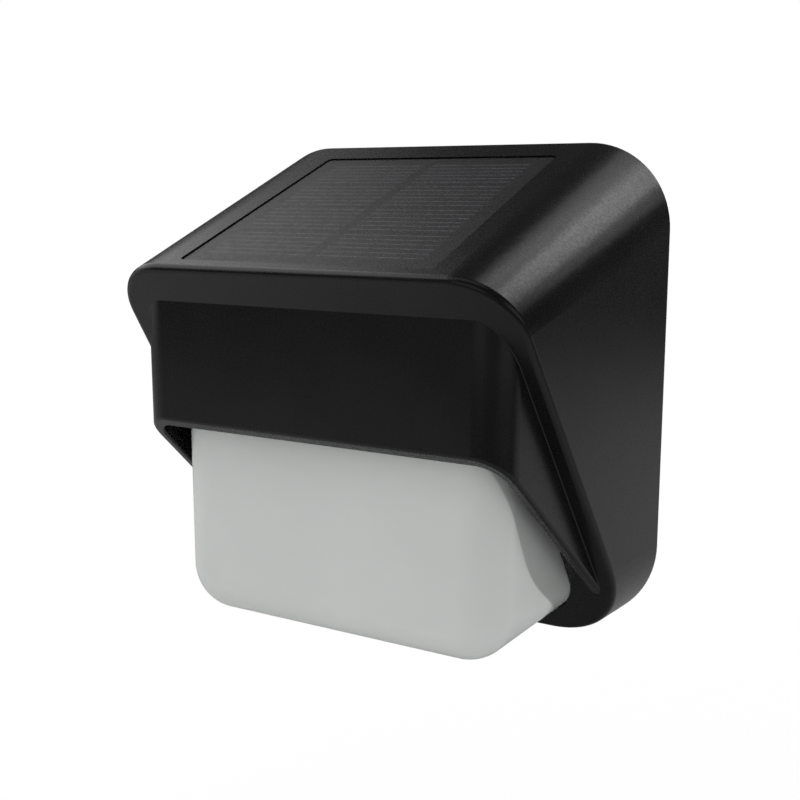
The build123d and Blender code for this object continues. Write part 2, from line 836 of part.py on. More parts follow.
with BuildPart() as battery_tray:
    with BuildSketch(wall_plane.offset(cover_thickness)):
        with Locations((0, battery_z)):
            RectangleRounded(2 * tray_half_length, 2 * tray_half_height, tray_corner)
    extrude(amount=tray_depth - cover_thickness)
    with BuildSketch(wall_plane.offset(cover_thickness + tray_wall)):
        with Locations((0, battery_z)):
            Rectangle(tray_inner_length, 2 * (tray_half_height - tray_wall))
    extrude(amount=tray_depth, mode=Mode.SUBTRACT)
battery_tray.part.label = "battery_tray"
export_step(battery_tray.part, "parts/battery_tray.step")

with BuildPart() as battery_cell:
    with BuildSketch(Plane.YZ.offset(-cell_body_length / 2)):
        with Locations((-cell_axis_depth, battery_z)):
            Circle(cell_radius)
    extrude(amount=cell_body_length)
    fillet(edges().filter_by(GeomType.CIRCLE), cell_edge_round)
    with BuildSketch(Plane.YZ.offset(cell_body_length / 2)):
        with Locations((-cell_axis_depth, battery_z)):
            Circle(cell_nub_radius)
    extrude(amount=cell_nub_length)
battery_cell.part.label = "battery_cell"
export_step(battery_cell.part, "parts/battery_cell.step")

contact_floor = cover_thickness + tray_wall
for name, side, gap_to_cell in (
    ("battery_contact_positive", 1, contact_face - cell_body_length / 2 - cell_nub_length),
    ("battery_contact_negative", -1, contact_face - cell_body_length / 2),
):
    # A nickel plate in the end of the tray, bowed towards the cell, with a solder tab.
    with BuildPart() as contact:
        with BuildSketch(Plane.YZ.offset(side * contact_face)):
            with Locations((-(contact_floor + tray_depth) / 2, battery_z)):
                Rectangle(tray_depth - contact_floor, contact_width)
            with Locations((-tray_depth - contact_tab_reach / 2, battery_z)):
                Rectangle(contact_tab_reach, contact_tab_width)
        extrude(amount=side * contact_thickness)
        with BuildSketch(Plane.YZ.offset(side * contact_face)):
            with Locations((-cell_axis_depth, battery_z)):
                Circle(contact_dimple_radius)
        with BuildSketch(Plane.YZ.offset(side * (contact_face - gap_to_cell))):
            with Locations((-cell_axis_depth, battery_z)):
                Circle(contact_dimple_top)
        loft()
    contact.part.label = name
    export_step(contact.part, f"parts/{name}.step")

# ================================================================ main board
with BuildPart() as main_board:
    with BuildSketch(wall_plane.offset(board_depth)):
        with Locations((0, board_z)):
            RectangleRounded(board_width, board_height, board_corner)
        with Locations(*board_screw_places):
            Circle(small_screw_radius + screw_hole_gap, mode=Mode.SUBTRACT)
    extrude(amount=board_thickness)
main_board.part.label = "main_board"
export_step(main_board.part, "parts/main_board.step")

board_face = wall_plane.offset(board_front)
pan_screws("main_board_screws", board_face, board_screw_places, board_screw_length)

with BuildPart() as controller_chip:
    with BuildSketch(wall_plane.offset(board_front)):
        with Locations((chip_x, board_z + chip_rise)):
            Rectangle(chip_width, chip_length)
            with GridLocations(chip_pin_pitch, 1, chip_pin_count, 1):
                Rectangle(chip_pin_width, chip_length + 2 * chip_pin_reach)
    extrude(amount=chip_pin_height)
    with BuildSketch(wall_plane.offset(board_front)):
        with Locations((chip_x, board_z + chip_rise)):
            Rectangle(chip_width, chip_length)
    extrude(amount=chip_height)
controller_chip.part.label = "controller_chip"
export_step(controller_chip.part, "parts/controller_chip.step")

with BuildPart() as boost_coil:
    with BuildSketch(wall_plane.offset(board_front)):
        with Locations((coil_x, board_z + coil_rise)):
            Circle(coil_radius)
    extrude(amount=coil_height)
    fillet(edges().filter_by(GeomType.CIRCLE), can_edge_round)
boost_coil.part.label = "boost_coil"
export_step(boost_coil.part, "parts/boost_coil.step")

with BuildPart() as capacitor:
    with BuildSketch(wall_plane.offset(board_front)):
        with Locations((capacitor_x, board_z + capacitor_rise)):
            Circle(capacitor_radius)
    extrude(amount=capacitor_height)
    fillet(edges().filter_by(GeomType.CIRCLE), can_edge_round)
capacitor.part.label = "capacitor"
export_step(capacitor.part, "parts/capacitor.step")

# ================================================================ push switch
switch_top = board_depth - switch_height
flange_seat = guide_end + button_flange_gap
button_back = flange_seat + button_flange_thickness
plunger_end = button_back + plunger_length

with BuildPart() as switch_body:
    with BuildSketch(wall_plane.offset(switch_top)):
        with Locations((0, board_z)):
            RectangleRounded(switch_size, switch_size, switch_corner)
    extrude(amount=switch_height)
    with BuildSketch(wall_plane.offset(switch_top)):
        with Locations((0, board_z)):
            well = 2 * (plunger_half_width + plunger_gap)
            Rectangle(well, well)
    extrude(amount=plunger_end + button_travel + plunger_end_gap - switch_top, mode=Mode.SUBTRACT)
switch_body.part.label = "switch_body"
export_step(switch_body.part, "parts/switch_body.step")

with BuildPart() as switch_plunger:
    with BuildSketch(wall_plane.offset(button_back)):
        with Locations((0, board_z)):
            Rectangle(2 * plunger_half_width, 2 * plunger_half_width)
    extrude(amount=plunger_length)
switch_plunger.part.label = "switch_plunger"
export_step(switch_plunger.part, "parts/switch_plunger.step")

groove_depth = dish_depth + o_ring_place
with BuildPart() as push_button:
    with BuildSketch(wall_plane.offset(button_sink)):
        with Locations((0, board_z)):
            Circle(button_radius)
    extrude(amount=flange_seat - button_sink)
    fillet(edges().sort_by(Axis.Y)[-1], button_end_round)
    with BuildSketch(wall_plane.offset(flange_seat)):
        with Locations((0, board_z)):
            Circle(button_flange_radius)
    extrude(amount=button_flange_thickness)
    with BuildSketch(wall_plane.offset(groove_depth - o_ring_radius)):
        with Locations((0, board_z)):
            Circle(button_radius)
            Circle(groove_radius, mode=Mode.SUBTRACT)
    extrude(amount=2 * o_ring_radius, mode=Mode.SUBTRACT)
push_button.part.label = "push_button"
export_step(push_button.part, "parts/push_button.step")

ring_section_radius = o_ring_radius - o_ring_slack
with BuildPart() as button_o_ring:
    axis_plane = Plane(origin=(0, -groove_depth, board_z), x_dir=(1, 0, 0), z_dir=(0, -1, 0))
    with Locations(axis_plane):
        Torus(groove_radius + ring_section_radius, ring_section_radius)
button_o_ring.part.label = "button_o_ring"
export_step(button_o_ring.part, "parts/button_o_ring.step")

# ================================================================ insulated leads
def lead_pair(name, route):
    """Two mirrored leads along a route of points on the +X side; returns the arc radii."""
    with BuildPart() as leads:
        for side in (1, -1):
            points = [Vector(side * x, y, z) for x, y, z in route]
            runs = [b - a for a, b in zip(points, points[1:])]
            turns = [math.radians(a.get_angle(b)) for a, b in zip(runs, runs[1:])]
            radii = [
                lead_arc_share * min(a.length, b.length) / math.tan(turn / 2)
                for a, b, turn in zip(runs, runs[1:], turns)
            ]
            with BuildLine() as path:
                FilletPolyline(*points, radius=radii)
            with BuildSketch(Plane(origin=points[0], z_dir=runs[0])):
                Circle(lead_radius)
            sweep()
    length = path.wires()[0].length
    expected = 2 * math.pi * lead_radius**2 * length
    print(name, "arc radii", [round(radius, 1) for radius in radii], "length", round(length, 1))
    print(name, "volume", round(leads.part.volume, 1), "section times length", round(expected, 1))
    leads.part.label = name
    export_step(leads.part, f"parts/{name}.step")


lead_pair(
    "panel_leads",
    [
        tuple(roof_plane.from_local_coords((panel_lead_x, panel_hole_place, -backing_underside))),
        tuple(
            roof_plane.from_local_coords(
                (panel_lead_x, panel_hole_place, -backing_underside - lead_stub)
            )
        ),
        (panel_lead_pad_x, -panel_lead_depth, board_z + panel_lead_pad_rise),
        (panel_lead_pad_x, -board_front, board_z + panel_lead_pad_rise),
    ],
)

lead_pair(
    "led_leads",
    [
        tuple(front_plane.from_local_coords((led_lead_x, led_board_centre, -reflector_front))),
        tuple(
            front_plane.from_local_coords(
                (led_lead_x, led_board_centre, -reflector_front - lead_stub)
            )
        ),
        (led_lead_pad_x, -led_lead_depth, board_z + led_lead_pad_rise),
        (led_lead_pad_x, -board_front, board_z + led_lead_pad_rise),
    ],
)

tab_depth = tray_depth + contact_tab_reach / 2
lead_pair(
    "battery_leads",
    [
        (contact_face, -tab_depth, battery_z),
        (contact_face - lead_stub, -tab_depth, battery_z),
        (battery_lead_turn_x, -battery_lead_depth, battery_z + battery_lead_turn_rise),
        (battery_lead_pad_x, -battery_lead_depth, board_z + battery_lead_pad_rise),
        (battery_lead_pad_x, -board_front, board_z + battery_lead_pad_rise),
    ],
)
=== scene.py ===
import math

import bpy
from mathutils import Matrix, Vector


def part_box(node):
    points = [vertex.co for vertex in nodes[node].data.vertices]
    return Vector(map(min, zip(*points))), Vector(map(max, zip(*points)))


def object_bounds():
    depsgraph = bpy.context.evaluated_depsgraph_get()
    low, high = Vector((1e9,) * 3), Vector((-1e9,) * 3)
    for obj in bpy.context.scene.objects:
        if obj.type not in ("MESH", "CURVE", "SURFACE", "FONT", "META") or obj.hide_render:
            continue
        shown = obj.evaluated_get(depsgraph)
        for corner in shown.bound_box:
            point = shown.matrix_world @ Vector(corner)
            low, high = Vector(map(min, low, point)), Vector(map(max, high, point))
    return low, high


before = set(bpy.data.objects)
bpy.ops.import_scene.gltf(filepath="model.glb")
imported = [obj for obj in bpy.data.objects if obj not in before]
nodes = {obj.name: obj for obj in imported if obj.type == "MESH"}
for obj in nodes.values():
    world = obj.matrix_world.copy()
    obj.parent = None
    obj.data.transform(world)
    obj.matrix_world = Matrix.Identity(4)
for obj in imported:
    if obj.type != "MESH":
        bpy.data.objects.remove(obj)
cad_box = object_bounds()

MM = 0.001

# ---------------------------------------------------------------- camera at the photograph's angle
IMAGE_SIZE = 800
SENSOR_WIDTH = 36.0
FOCAL_PIXELS = 1160.8
CAMERA_PLACE = Vector((128.64, -240.92, 96.96)) * MM
CAMERA_YAW = math.radians(30.62)
CAMERA_PITCH = math.radians(10.29)


def add_camera():
    data = bpy.data.cameras.new("camera")
    data.sensor_width = SENSOR_WIDTH
    data.lens = FOCAL_PIXELS / IMAGE_SIZE * SENSOR_WIDTH
    data.clip_start = 0.01
    data.clip_end = 20.0
    camera = bpy.data.objects.new("camera", data)
    bpy.context.scene.collection.objects.link(camera)
    forward = Vector(
        (
            -math.sin(CAMERA_YAW) * math.cos(CAMERA_PITCH),
            math.cos(CAMERA_YAW) * math.cos(CAMERA_PITCH),
            -math.sin(CAMERA_PITCH),
        )
    )
    camera.location = CAMERA_PLACE
    camera.rotation_euler = forward.to_track_quat("-Z", "Y").to_euler()
    bpy.context.scene.camera = camera


# ---------------------------------------------------------------- shared node calls
class Graph:
    """A material's node tree, with short calls for the nodes that the materials share."""

    def __init__(self, name):
        self.material = bpy.data.materials.new(name)
        self.material.use_nodes = True
        self.tree = self.material.node_tree
        self.shader = self.tree.nodes["Principled BSDF"]
        self.place = self.node("ShaderNodeTexCoord").outputs["Object"]

    def node(self, kind, **settings):
        made = self.tree.nodes.new(kind)
        for key, value in settings.items():
            setattr(made, key, value)
        return made

    def link(self, source, target):
        self.tree.links.new(source, target)

    def fill(self, socket, value):
        """Sets a number or a colour on a socket, or links an output to it."""
        if isinstance(value, tuple):
            socket.default_value = (*value, 1)
        elif isinstance(value, (int, float)):
            socket.default_value = value
        else:
            self.link(value, socket)

    def stretched(self, stretch):
        mapping = self.node("ShaderNodeMapping")
        mapping.inputs["Scale"].default_value = stretch
        self.link(self.place, mapping.inputs["Vector"])
        return mapping.outputs["Vector"]

    def noise(self, size, detail=2.0, stretch=None):
        """Noise whose features are about size metres across."""
        texture = self.node("ShaderNodeTexNoise")
        texture.inputs["Scale"].default_value = 1.0 / size
        texture.inputs["Detail"].default_value = detail
        self.link(self.stretched(stretch) if stretch else self.place, texture.inputs["Vector"])
        return texture.outputs["Fac"]

    def cracks(self, size):
        """Distance to the edges of blocky cells that are about size metres across."""
        texture = self.node("ShaderNodeTexVoronoi", feature="DISTANCE_TO_EDGE")
        texture.inputs["Scale"].default_value = 1.0 / size
        texture.inputs["Randomness"].default_value = 0.85
        self.link(self.place, texture.inputs["Vector"])
        return texture.outputs["Distance"]

    def specks(self, size):
        """Distance to scattered points that are about size metres apart."""
        texture = self.node("ShaderNodeTexVoronoi", feature="F1")
        texture.inputs["Scale"].default_value = 1.0 / size
        self.link(self.place, texture.inputs["Vector"])
        return texture.outputs["Distance"]

    def ramp(self, value, low, high, start=0.35, end=0.65):
        """Maps a value between start and end to a number or a colour between low and high."""
        if isinstance(low, tuple):
            return self.mix(self.ramp(value, 0.0, 1.0, start, end), low, high)
        made = self.node("ShaderNodeMapRange")
        made.inputs["From Min"].default_value = start
        made.inputs["From Max"].default_value = end
        made.inputs["To Min"].default_value = low
        made.inputs["To Max"].default_value = high
        self.link(value, made.inputs["Value"])
        return made.outputs["Result"]

    def math(self, operation, a, b=None, c=None):
        made = self.node("ShaderNodeMath", operation=operation)
        for socket, value in zip(made.inputs, (a, b, c)):
            if value is not None:
                self.fill(socket, value)
        return made.outputs["Value"]

    def mix(self, share, low, high):
        """Colour between low and high, each a colour or an output."""
        made = self.node("ShaderNodeMix", data_type="RGBA")
        sockets = [s for s in made.inputs if s.type == "RGBA"]
        self.fill(sockets[0], low)
        self.fill(sockets[1], high)
        self.link(share, made.inputs["Factor"])
        return next(s for s in made.outputs if s.type == "RGBA")

    def along(self, direction, origin=(0.0, 0.0, 0.0)):
        """Distance of a point from the origin along a direction, in metres."""
        way = Vector(direction).normalized()
        dot = self.node("ShaderNodeVectorMath", operation="DOT_PRODUCT")
        self.link(self.place, dot.inputs[0])
        dot.inputs[1].default_value = way
        return self.math("SUBTRACT", dot.outputs["Value"], way.dot(Vector(origin)))

    def band(self, value, low, high, soft):
        """One between low and high, fading to nothing over the soft distance outside."""
        middle = (low + high) / 2
        off = self.math("ABSOLUTE", self.math("SUBTRACT", value, middle))
        half = (high - low) / 2
        return self.ramp(off, 1.0, 0.0, half, half + soft)

    def bump(self, height, depth):
        """Adds a relief of the given depth in metres on top of the ones before it."""
        made = self.node("ShaderNodeBump")
        made.inputs["Distance"].default_value = depth
        self.link(height, made.inputs["Height"])
        normal = self.shader.inputs["Normal"]
        if normal.is_linked:
            self.link(normal.links[0].from_socket, made.inputs["Normal"])
        self.link(made.outputs["Normal"], normal)

    def set(self, **sockets):
        for key, value in sockets.items():
            self.fill(self.shader.inputs[key.replace("_", " ")], value)


# ---------------------------------------------------------------- outside of the light
def moulded_plastic(name, dark, light, grain, relief, roughness, specular):
    """Moulded plastic: spark-eroded grain, slow changes of tone and small differences in gloss."""
    g = Graph(name)
    g.set(Base_Color=g.ramp(g.noise(14 * MM, 3.0), dark, light))
    g.set(Roughness=g.ramp(g.noise(grain * 2, 2.0), roughness - 0.03, roughness + 0.03))
    g.set(Specular_IOR_Level=specular)
    g.bump(g.noise(grain, 2.0), relief)
    return g


def housing_material():
    g = moulded_plastic(
        "housing_black", (0.0015, 0.0015, 0.0016), (0.0030, 0.0030, 0.0031),
        0.3 * MM, 0.0014 * MM, 0.27, 0.5,
    )
    return g.material


def cover_material():
    g = moulded_plastic(
        "cover_black", (0.0045, 0.0045, 0.0047), (0.0065, 0.0065, 0.0067),
        0.5 * MM, 0.03 * MM, 0.48, 0.5,
    )
    return g.material


def diffuser_material():
    """Milky plastic, with painted shade on its sides where they stand before the black front wall."""
    g = Graph("diffuser_milky")
    # painted shade: the sides near the front wall get a darker base colour, standing in for the
    # visor's shade
    behind_front = g.along((0, 0.89, 0.46), (0, -27.8 * MM, 0))
    above_foot = g.along((0, 0.56, 0.83), (0, -8.4 * MM, 0))
    nearer = g.math("SMOOTH_MIN", behind_front, above_foot, 6 * MM)
    painted_shade_mask = g.ramp(nearer, 0.0, 1.0, -0.6 * MM, -0.1 * MM)
    milky = g.ramp(g.noise(22 * MM, 2.0), (0.500, 0.518, 0.504), (0.515, 0.533, 0.519))
    painted_shade_tone = g.ramp(g.noise(22 * MM, 2.0), (0.315, 0.324, 0.317), (0.335, 0.344, 0.337))
    g.set(Base_Color=g.mix(painted_shade_mask, milky, painted_shade_tone))
    g.set(Roughness=g.ramp(g.noise(5 * MM, 3.0), 0.06, 0.08))
    g.set(Specular_IOR_Level=0.5, Subsurface_Weight=0.25, Subsurface_Scale=3 * MM)
    g.shader.inputs["Subsurface Radius"].default_value = (1.0, 1.0, 1.0)
    g.bump(g.noise(9 * MM, 1.0), 0.015 * MM)
    return g.material


# ---------------------------------------------------------------- solar panel
ROOF_FALL = 25.0
ROOF_RUN = 65.0
CELL_COLUMNS = 2
CELL_ROWS = 4
CELL_COLUMN_GAP = 2.6 * MM
CELL_ROW_GAP = 0.7 * MM
FINGERS_PER_CELL = 6
FINGER_WIDTH = 0.12 * MM
EDGE_SOFTNESS = 0.05 * MM


def panel_pattern(g):
    """Masks of the cells and of their fingers, from the place on the roof's slope."""
    low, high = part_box("solar_cells")
    up_roof = (0.0, ROOF_RUN, ROOF_FALL)
    reach = (high[1] - low[1]) * math.hypot(ROOF_RUN, ROOF_FALL) / ROOF_RUN
    cell_width = (high[0] - low[0] - (CELL_COLUMNS - 1) * CELL_COLUMN_GAP) / CELL_COLUMNS
    cell_length = (reach - (CELL_ROWS - 1) * CELL_ROW_GAP) / CELL_ROWS
    across = g.math("MODULO", g.along((1, 0, 0), (low[0], 0, 0)), cell_width + CELL_COLUMN_GAP)
    up = g.along(up_roof, (0, low[1], low[2]))
    in_row = g.math("MODULO", up, cell_length + CELL_ROW_GAP)
    inside = g.math(
        "MULTIPLY",
        g.band(g.along((1, 0, 0)), low[0], high[0], EDGE_SOFTNESS),
        g.band(up, 0.0, reach, EDGE_SOFTNESS),
    )
    in_cell = g.math(
        "MULTIPLY",
        g.band(across, 0.0, cell_width, EDGE_SOFTNESS),
        g.band(in_row, 0.0, cell_length, EDGE_SOFTNESS),
    )
    cells = g.math("MULTIPLY", inside, in_cell)
    pitch = cell_length / FINGERS_PER_CELL
    in_pitch = g.math("MODULO", in_row, pitch)
    half_finger = FINGER_WIDTH / 2
    finger = g.band(in_pitch, pitch / 2 - half_finger, pitch / 2 + half_finger, half_finger)
    return cells, g.math("MULTIPLY", cells, finger)


def glaze_material():
    """Dark laminate over the cells, finely pebbled, with the cells' fingers seen through it."""
    g = Graph("panel_dark")
    cells, fingers = panel_pattern(g)
    grain = g.noise(0.35 * MM, 2.0)
    margin = g.ramp(grain, (0.006, 0.006, 0.0065), (0.016, 0.016, 0.017))
    silicon = g.ramp(grain, (0.008, 0.008, 0.0092), (0.020, 0.020, 0.0222))
    silver = g.ramp(g.noise(0.9 * MM, 2.0), (0.045, 0.045, 0.051), (0.12, 0.12, 0.135))
    g.set(Base_Color=g.mix(fingers, g.mix(cells, margin, silicon), silver))
    g.set(Roughness=g.ramp(g.noise(2 * MM, 3.0), 0.37, 0.43), Specular_IOR_Level=0.5)
    g.bump(g.noise(0.45 * MM, 2.0), 0.045 * MM)
    return g.material


def cell_material():
    g = Graph("cell_silicon")
    fingers = panel_pattern(g)[1]
    crystal = g.ramp(g.specks(2.5 * MM), (0.010, 0.014, 0.035), (0.02, 0.028, 0.06), 0.2, 0.7)
    g.set(Base_Color=g.mix(fingers, crystal, (0.6, 0.6, 0.62)))
    g.set(Metallic=g.math("MULTIPLY", fingers, 0.8))
    g.set(Roughness=g.ramp(g.noise(1.2 * MM), 0.22, 0.32))
    g.bump(fingers, 0.02 * MM)
    return g.material


# ---------------------------------------------------------------- plastics, rubber and metal inside
def plain_plastic(name, dark, light, roughness=0.45):
    """Small moulded piece with a satin grain and a trace of flow marks."""
    g = Graph(name)
    g.set(Base_Color=g.ramp(g.noise(4 * MM, 3.0), dark, light))
    g.set(Roughness=g.ramp(g.noise(1.5 * MM, 3.0), roughness - 0.05, roughness + 0.05))
    g.bump(g.noise(0.3 * MM), 0.008 * MM)
    g.bump(g.noise(3 * MM, 1.0, (1.0, 1.0, 3.0)), 0.02 * MM)
    return g.material


def rubber(name, dark, light):
    """Matt rubber with talc in its pores."""
    g = Graph(name)
    dust = g.ramp(g.specks(0.6 * MM), 1.0, 0.0, 0.05, 0.25)
    tone = g.ramp(g.noise(2.5 * MM, 3.0), dark, light)
    g.set(Base_Color=g.mix(g.math("MULTIPLY", dust, 0.3), tone, (0.12, 0.12, 0.12)))
    g.set(Roughness=g.ramp(g.noise(0.8 * MM), 0.66, 0.82), Specular_IOR_Level=0.3)
    g.bump(g.noise(0.25 * MM, 3.0), 0.02 * MM)
    return g.material


def foam_tape():
    g = Graph("tape_grey")
    pores = g.ramp(g.specks(0.35 * MM), 0.0, 1.0, 0.1, 0.5)
    g.set(Base_Color=g.mix(pores, (0.03, 0.03, 0.032), (0.11, 0.11, 0.115)))
    g.set(Roughness=g.ramp(g.noise(1 * MM), 0.75, 0.9))
    g.bump(pores, 0.06 * MM)
    return g.material


def plated_metal(name, dark, light, roughness, stretch):
    """Plated metal, drawn along the axis that the stretch leaves long."""
    g = Graph(name)
    stain = g.noise(1.6 * MM, 4.0)
    g.set(Base_Color=g.ramp(stain, dark, light), Metallic=1.0)
    g.set(Roughness=g.ramp(g.noise(0.25 * MM, 3.0, stretch), roughness - 0.07, roughness + 0.1))
    g.bump(g.noise(0.12 * MM, 2.0, stretch), 0.006 * MM)
    return g.material


# ---------------------------------------------------------------- boards and what sits on them
def circuit_board(name, mask_dark, mask_light, track):
    """Solder mask over copper tracks, which show as lighter raised lanes."""
    g = Graph(name)
    lanes = g.ramp(g.cracks(3.2 * MM), 1.0, 0.0, 0.06, 0.11)
    mask = g.ramp(g.noise(6 * MM, 3.0), mask_dark, mask_light)
    g.set(Base_Color=g.mix(lanes, mask, track))
    g.set(Roughness=g.ramp(g.noise(1.2 * MM), 0.26, 0.36))
    g.bump(lanes, 0.03 * MM)
    g.bump(g.noise(0.5 * MM), 0.008 * MM)
    return g.material


LED_COUNT = 6
LED_WIDTH = 2.8 * MM
LED_WELL_RADIUS = 1.1 * MM
CHIP_BODY_HALF = 2.02 * MM
COIL_WIRE = 0.28 * MM


def box_middle(name):
    """Middle of the box round a node."""
    low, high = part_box(name)
    return [(a + b) / 2 for a, b in zip(low, high)]


def led_material():
    """White package with a round yellow phosphor well in the middle of each light."""
    low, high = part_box("leds")
    pitch = (high[0] - low[0] - LED_WIDTH) / (LED_COUNT - 1)
    row_start = low[0] - (pitch - LED_WIDTH) / 2
    g = Graph("led_yellow")
    along_row = g.math("MODULO", g.along((1, 0, 0), (row_start, 0, 0)), pitch)
    side = g.math("SUBTRACT", along_row, pitch / 2)
    rise = g.along((0, 0, 1), box_middle("leds"))
    reach = g.math("SQRT", g.math("ADD", g.math("POWER", side, 2.0), g.math("POWER", rise, 2.0)))
    well = g.ramp(reach, 1.0, 0.0, LED_WELL_RADIUS - 0.05 * MM, LED_WELL_RADIUS + 0.05 * MM)
    phosphor = g.ramp(g.noise(0.3 * MM, 3.0), (0.75, 0.52, 0.06), (0.88, 0.68, 0.14))
    package = g.ramp(g.noise(0.6 * MM), (0.72, 0.72, 0.70), (0.80, 0.80, 0.78))
    g.set(Base_Color=g.mix(well, package, phosphor))
    g.set(Roughness=g.ramp(well, 0.42, 0.2, 0.0, 1.0))
    g.bump(g.noise(0.2 * MM), 0.006 * MM)
    return g.material


def chip_material():
    """Moulded chip whose tinned pins stand out on two sides."""
    g = Graph("chip_black")
    off = g.math("ABSOLUTE", g.along((0, 0, 1), box_middle("controller_chip")))
    pins = g.ramp(off, 0.0, 1.0, CHIP_BODY_HALF, CHIP_BODY_HALF + 0.02 * MM)
    mould = g.ramp(g.noise(0.4 * MM, 3.0), (0.012, 0.012, 0.012), (0.024, 0.024, 0.024))
    g.set(Base_Color=g.mix(pins, mould, (0.62, 0.61, 0.58)), Metallic=pins)
    g.set(Roughness=g.ramp(pins, 0.62, 0.3, 0.0, 1.0))
    g.bump(g.noise(0.12 * MM, 3.0), 0.012 * MM)
    return g.material


def coil_material():
    """Ferrite drum with enamelled copper turns round its waist."""
    low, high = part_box("boost_coil")
    depth_in = 0.24 * (high[1] - low[1])
    g = Graph("coil_ferrite")
    depth = g.along((0, 1, 0))
    waist = g.band(depth, low[1] + depth_in, high[1] - depth_in, 0.03 * MM)
    turn = g.math("PINGPONG", depth, COIL_WIRE / 2)
    round_wire = g.ramp(turn, 0.0, 1.0, 0.0, COIL_WIRE / 2)
    ferrite = g.ramp(g.noise(0.5 * MM, 3.0), (0.035, 0.035, 0.037), (0.07, 0.07, 0.073))
    copper = g.mix(round_wire, (0.16, 0.045, 0.015), (0.55, 0.21, 0.08))
    g.set(Base_Color=g.mix(waist, ferrite, copper), Metallic=waist)
    g.set(Roughness=g.ramp(waist, 0.6, 0.32, 0.0, 1.0))
    g.bump(g.math("MULTIPLY", waist, round_wire), 0.1 * MM)
    g.bump(g.noise(0.2 * MM, 3.0), 0.01 * MM)
    return g.material


def capacitor_material():
    """Sleeved can with a pale stripe down one side and a bare aluminium top."""
    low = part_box("capacitor")[0]
    g = Graph("capacitor_sleeve")
    top = g.ramp(g.along((0, 1, 0), low), 1.0, 0.0, 0.3 * MM, 0.35 * MM)
    stripe = g.ramp(g.along((1, 0, 0), box_middle("capacitor")), 0.0, 1.0, 1.9 * MM, 1.95 * MM)
    sleeve = g.ramp(g.noise(1.5 * MM), (0.012, 0.012, 0.03), (0.02, 0.02, 0.045))
    wrapped = g.mix(stripe, sleeve, (0.42, 0.43, 0.45))
    can = g.ramp(g.noise(0.2 * MM, 2.0, (1, 1, 8)), (0.6, 0.6, 0.61), (0.75, 0.75, 0.76))
    g.set(Base_Color=g.mix(top, wrapped, can), Metallic=top)
    g.set(Roughness=g.ramp(top, 0.3, 0.25, 0.0, 1.0))
    g.bump(g.noise(0.8 * MM), 0.01 * MM)
    return g.material


def battery_material():
    """Shrink sleeve with a pale band near the positive end, and bare nickel at both ends."""
    low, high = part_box("battery_cell")
    g = Graph("cell_jacket")
    x = g.along((1, 0, 0))
    band = g.band(x, high[0] - 9.0 * MM, high[0] - 5.0 * MM, 0.05 * MM)
    bare = g.math(
        "ADD",
        g.ramp(x, 0.0, 1.0, high[0] - 1.9 * MM, high[0] - 1.85 * MM),
        g.ramp(x, 1.0, 0.0, low[0] + 0.45 * MM, low[0] + 0.5 * MM),
    )
    jacket = g.ramp(g.noise(7 * MM, 3.0, (0.3, 1, 1)), (0.015, 0.13, 0.05), (0.02, 0.16, 0.065))
    wrapped = g.mix(band, jacket, (0.55, 0.55, 0.53))
    nickel = g.ramp(g.noise(0.6 * MM, 3.0), (0.48, 0.46, 0.42), (0.62, 0.60, 0.55))
    g.set(Base_Color=g.mix(bare, wrapped, nickel), Metallic=bare)
    g.set(Roughness=g.ramp(g.noise(1.5 * MM), 0.24, 0.36))
    g.bump(g.noise(2.5 * MM, 2.0, (0.25, 1, 1)), 0.04 * MM)
    return g.material


def lead_material(name):
    """Insulated leads, red on one side of the light and black on the other."""
    g = Graph(name)
    right = g.ramp(g.along((1, 0, 0)), 0.0, 1.0, -0.1 * MM, 0.1 * MM)
    tone = g.noise(1.8 * MM, 3.0)
    red = g.ramp(tone, (0.32, 0.012, 0.01), (0.42, 0.02, 0.015))
    black = g.ramp(tone, (0.010, 0.010, 0.010), (0.018, 0.018, 0.018))
    g.set(Base_Color=g.mix(right, black, red))
    g.set(Roughness=g.ramp(g.noise(0.6 * MM), 0.36, 0.48), Specular_IOR_Level=0.4)
    g.bump(g.noise(0.3 * MM), 0.01 * MM)
    return g.material


def board_materials():
    green = circuit_board("board_green", (0.008, 0.07, 0.022), (0.012, 0.09, 0.03), (0.02, 0.15, 0.05))
    white = circuit_board("board_white", (0.72, 0.72, 0.71), (0.78, 0.78, 0.77), (0.86, 0.86, 0.85))
    return {
        "panel_backing": green,
        "main_board": green,
        "led_board": white,
        "leds": led_material(),
        "controller_chip": chip_material(),
        "boost_coil": coil_material(),
        "capacitor": capacitor_material(),
        "switch_body": plain_plastic("switch_plastic", (0.03, 0.03, 0.032), (0.05, 0.05, 0.052)),
        "switch_plunger": plain_plastic("plunger_white", (0.55, 0.55, 0.53), (0.62, 0.62, 0.6)),
    }


def seal_materials():
    seal = rubber("seal_rubber", (0.012, 0.012, 0.012), (0.022, 0.022, 0.022))
    return {
        "cover_seal": seal,
        "diffuser_gasket": seal,
        "button_o_ring": seal,
        "push_button": rubber("button_rubber", (0.02, 0.02, 0.021), (0.032, 0.032, 0.033)),
        "panel_tape": foam_tape(),
    }


def metal_materials():
    steel = plated_metal("screw_steel", (0.42, 0.42, 0.43), (0.58, 0.58, 0.59), 0.3, (1, 4, 1))
    nickel = plated_metal("contact_nickel", (0.50, 0.48, 0.43), (0.66, 0.64, 0.58), 0.22, (1, 1, 6))
    return {
        "cover_screws": steel,
        "reflector_screws": steel,
        "led_board_screws": steel,
        "main_board_screws": steel,
        "battery_contact_positive": nickel,
        "battery_contact_negative": nickel,
    }


